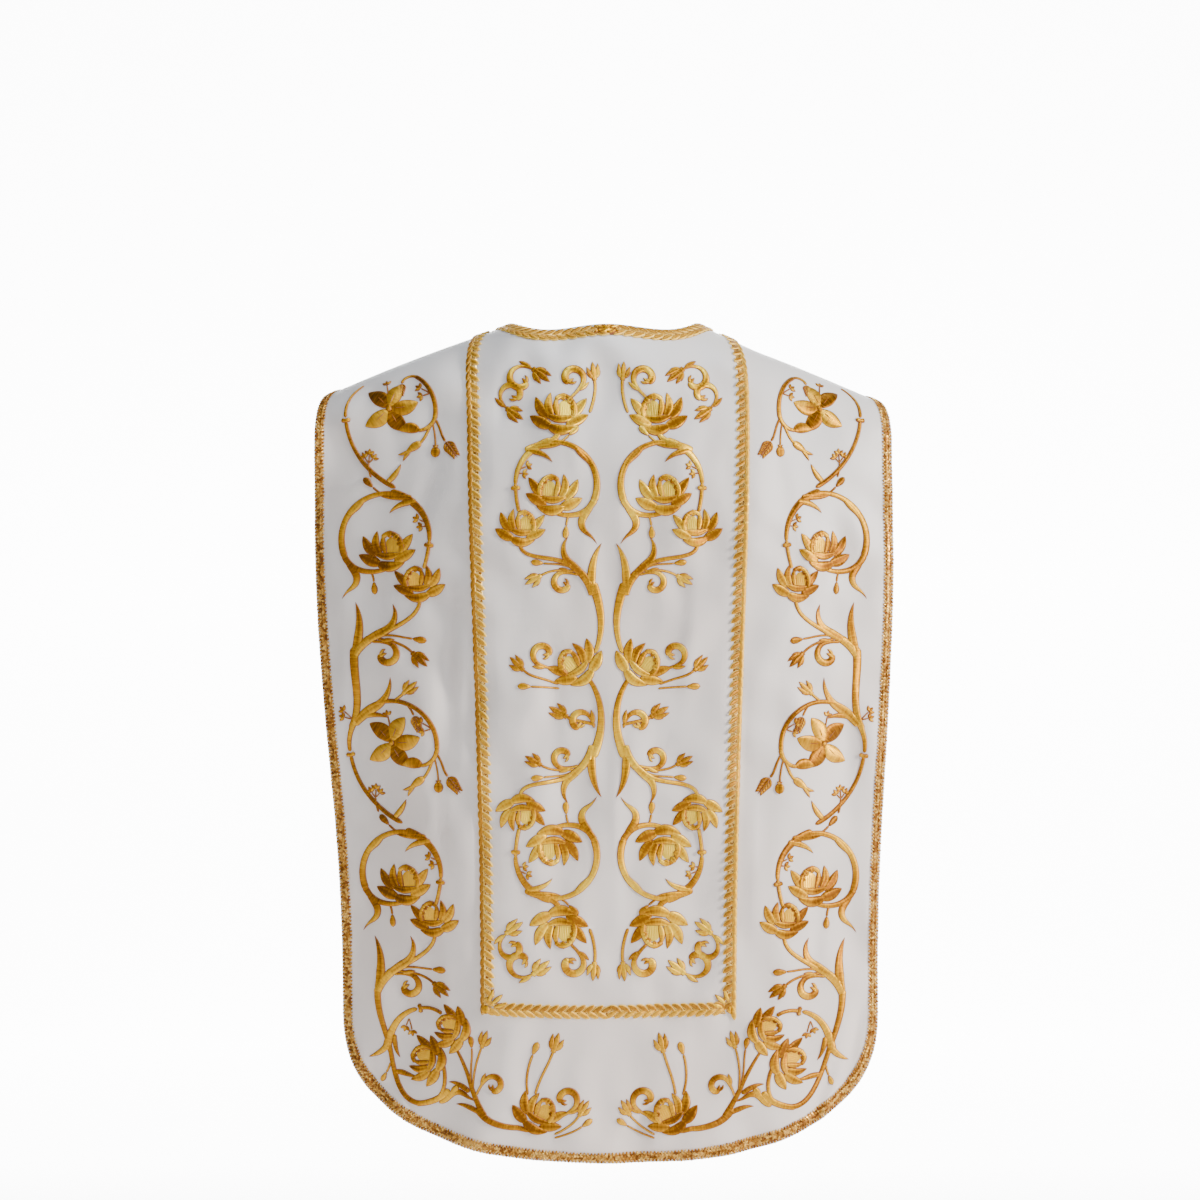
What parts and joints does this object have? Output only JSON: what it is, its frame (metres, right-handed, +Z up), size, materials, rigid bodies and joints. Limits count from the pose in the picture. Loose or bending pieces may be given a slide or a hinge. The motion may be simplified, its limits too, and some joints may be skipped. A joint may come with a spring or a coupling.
{
  "type": "roman chasuble",
  "caption": "Roman fiddleback chasuble of ivory silk with gold scroll embroidery, plaited column lines and galloon, hanging as worn.",
  "frame": {"origin": "midway between the two side neck points, at the height where the cloth rests on the wearer's shoulders", "axes": "+Z up, +Y the way the wearer faces, +X towards the wearer's right; the embroidered back panel hangs on the -Y side"},
  "size_m": [0.7001, 0.2795, 1.0054],
  "materials": {
    "silk": "ivory silk with a fine weave and a soft sheen, lined and stiffened",
    "galloon": "flat woven braid in pale gold and brown metal thread",
    "plait": "padded gold thread laid in overlapping leaves, with pale gold outlines"
  },
  "bodies": {
    "root": {"back_panel": "silk", "front_panel": "silk", "galloon_back": "galloon", "galloon_front": "galloon", "plait_line_left": "plait", "plait_line_right": "plait", "plait_foot_back": "plait", "plait_foot_front": "plait", "plait_neck": "plait"}
  },
  "joints": []
}
